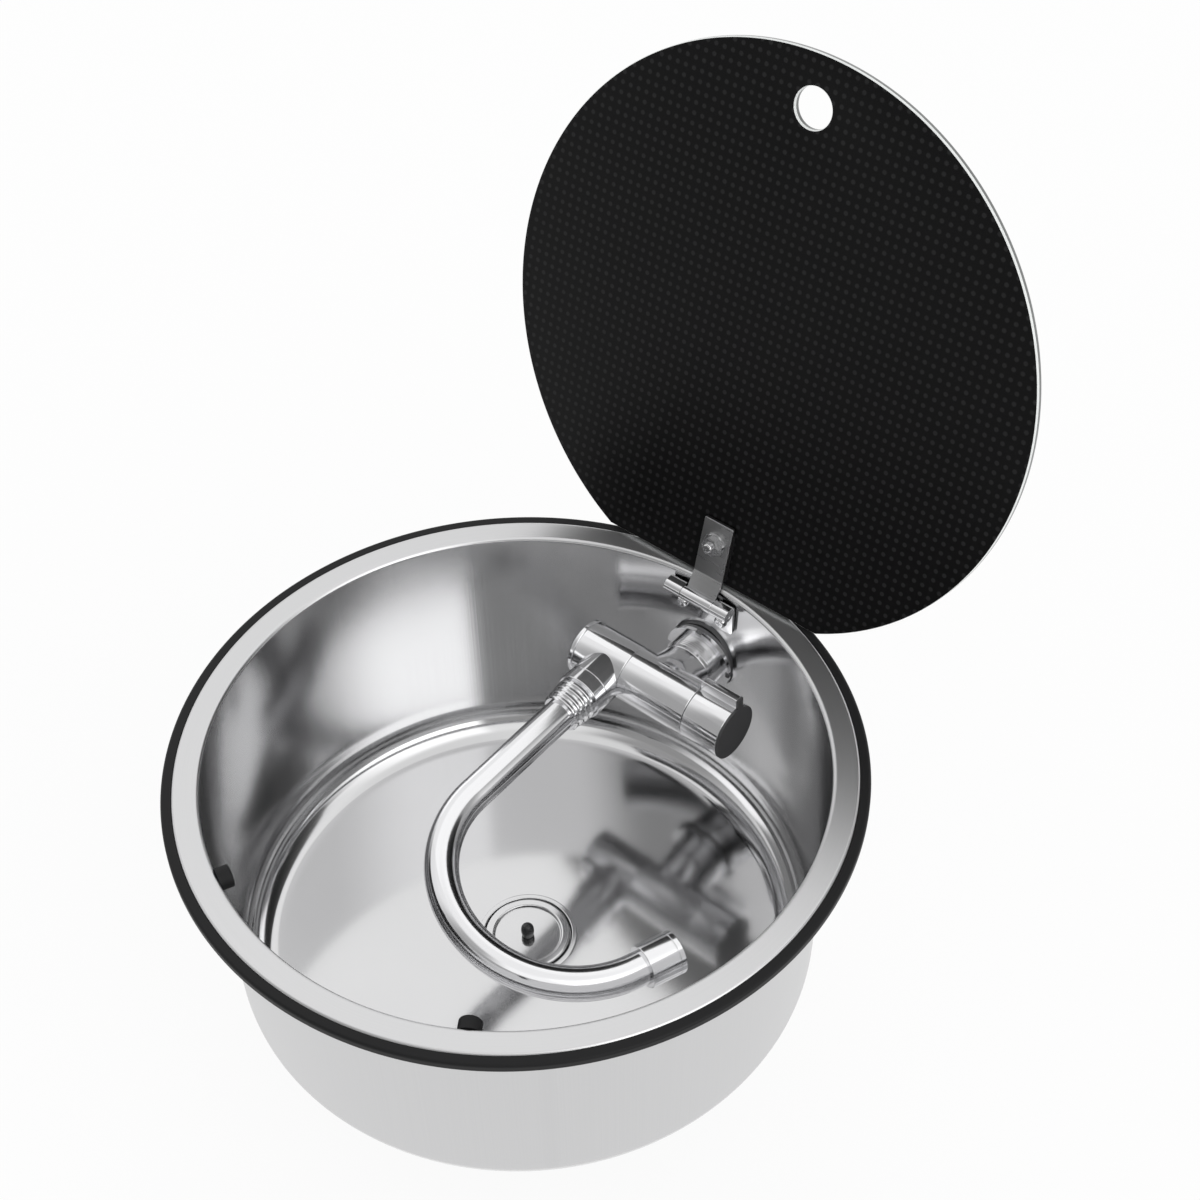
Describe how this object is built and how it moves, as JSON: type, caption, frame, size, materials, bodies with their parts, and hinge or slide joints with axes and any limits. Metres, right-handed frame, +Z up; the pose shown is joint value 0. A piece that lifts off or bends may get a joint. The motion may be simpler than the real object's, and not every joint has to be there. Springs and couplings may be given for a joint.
{
  "type": "inset sink",
  "caption": "Round inset steel sink with a rubber rim seal, a hinged round black glass lid, a fold-down swivel tap inside the bowl and a plugged waste.",
  "frame": {"origin": "on the bowl's axis, in the plane of the worktop that the rim seal rests on", "axes": "+Z up along the bowl's axis, +Y towards the hinge and the tap, +X to the right for someone at the front"},
  "size_m": [0.4, 0.4781, 0.576],
  "materials": {
    "bowl_steel": "satin, with fine upright brushing inside",
    "seal_rubber": "matt black",
    "bumper_rubber": "matt black",
    "tap_chrome": "mirror",
    "fitting_brass": "plain machined",
    "fixing_steel": "bright rolled",
    "hinge_steel": "polished",
    "lid_glass": "black glass with a fine dot print",
    "knob_plate": "satin dark grey",
    "waste_steel": "polished",
    "waste_plastic": "matt black",
    "gasket_rubber": "matt",
    "knob_black": "gloss black",
    "nylon_white": "plain",
    "nylon_black": "plain"
  },
  "bodies": {
    "sink": {"bowl": "bowl_steel", "rim_seal": "seal_rubber", "bumper_left": "bumper_rubber", "bumper_right": "bumper_rubber", "hinge_leaf": "hinge_steel", "hinge_pin": "hinge_steel", "leaf_screws": "hinge_steel", "leaf_washers": "fixing_steel", "leaf_nuts": "fixing_steel", "waste_body": "waste_steel", "waste_gasket_upper": "gasket_rubber", "waste_gasket_lower": "gasket_rubber", "waste_backnut": "waste_plastic", "waste_coupling_nut": "waste_plastic", "tail_washer": "gasket_rubber", "waste_tail": "waste_plastic", "tap_body": "tap_chrome", "tap_ring_nut": "tap_chrome", "tap_gasket_inner": "gasket_rubber", "tap_gasket_outer": "gasket_rubber", "tap_back_washer": "fixing_steel", "tap_backnut": "fitting_brass", "inlet_nipple": "fitting_brass", "spindle_rings": "gasket_rubber", "spindle_washer": "nylon_white", "spindle_screw": "fixing_steel", "valve_cartridge": "nylon_white", "cartridge_nut": "fitting_brass"},
    "lid": {"glass_lid": "lid_glass", "lid_pad": "gasket_rubber", "hinge_strap": "hinge_steel", "lid_bush": "nylon_black", "lid_bolt": "fixing_steel", "lid_washer": "fixing_steel", "lid_nut": "fixing_steel"},
    "sleeve": {"spout_sleeve": "tap_chrome", "sleeve_cap": "tap_chrome", "spout_nut": "tap_chrome"},
    "spout": {"spout_tube": "tap_chrome", "spout_bush": "nylon_white", "outlet_sleeve": "tap_chrome", "outlet_insert": "nylon_black"},
    "knob": {"control_knob": "tap_chrome", "knob_end_plate": "knob_plate", "valve_stem": "fitting_brass", "knob_screw": "fixing_steel"},
    "plug": {"plug_disc": "waste_steel", "plug_seal": "gasket_rubber", "plug_knob": "knob_black"}
  },
  "joints": [
    {"name": "lid_hinge", "type": "hinge", "parent": "sink", "child": "lid", "pos_m": [0, 0.17, -0.001], "axis": [1, 0, 0], "range_deg": [0, 106]},
    {"name": "spout_fold", "type": "hinge", "parent": "sink", "child": "sleeve", "pos_m": [-0.036, 0.1329, -0.0497], "axis": [1, 0, 0], "range_deg": [-90, 0]},
    {"name": "spout_swivel", "type": "hinge", "parent": "sleeve", "child": "spout", "pos_m": [-0.0355, 0.107, -0.0497], "axis": [0, 1, 0], "range_deg": [-10, 20]},
    {"name": "knob_turn", "type": "hinge", "parent": "sink", "child": "knob", "pos_m": [0.042, 0.1329, -0.0497], "axis": [1, 0, 0], "range_deg": [0, 90]},
    {"name": "plug_lift", "type": "slide", "parent": "sink", "child": "plug", "axis": [0, 0, 1], "range_m": [0, 0.035]}
  ]
}
